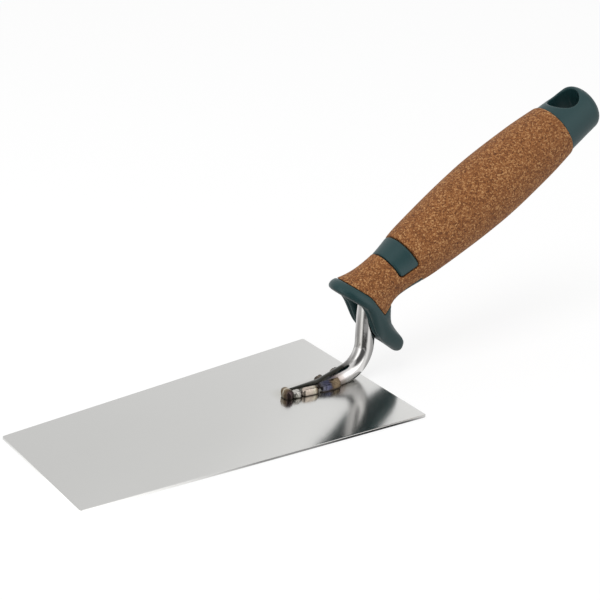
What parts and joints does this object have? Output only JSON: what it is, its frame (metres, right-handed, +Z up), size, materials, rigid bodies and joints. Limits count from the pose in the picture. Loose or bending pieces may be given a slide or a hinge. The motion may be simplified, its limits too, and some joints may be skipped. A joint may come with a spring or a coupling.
{
  "type": "bucket trowel",
  "caption": "Bucket trowel with a tapered flat steel blade, a bent round tang welded on, and a green plastic and cork handle with a finger guard and a hanging hole.",
  "frame": {"origin": "centre of the blade's underside, midway between its toe and heel edges", "axes": "+X from the blade's toe to its heel and on towards the handle, +Z up out of the blade towards the handle, +Y across the blade by the right-hand rule"},
  "size_m": [0.2909, 0.095, 0.1168],
  "materials": {
    "blade_steel": "polished stainless sheet, near mirror",
    "bar_steel": "polished stainless bar",
    "weld_gold": "straw heat tint",
    "weld_steel": "bright deposit with brown tint",
    "weld_blue": "blue and purple heat tint",
    "green_plastic": "satin dark teal green",
    "cork": "cork granules bound in soft plastic"
  },
  "bodies": {
    "root": {"blade": "blade_steel", "tang": "bar_steel", "weld_toe": "weld_gold", "weld_near_front": "weld_steel", "weld_near_middle": "weld_gold", "weld_near_rear": "weld_blue", "weld_far_front": "weld_steel", "weld_far_rear": "weld_blue", "handle_core": "green_plastic", "cork_grip": "cork"}
  },
  "joints": []
}
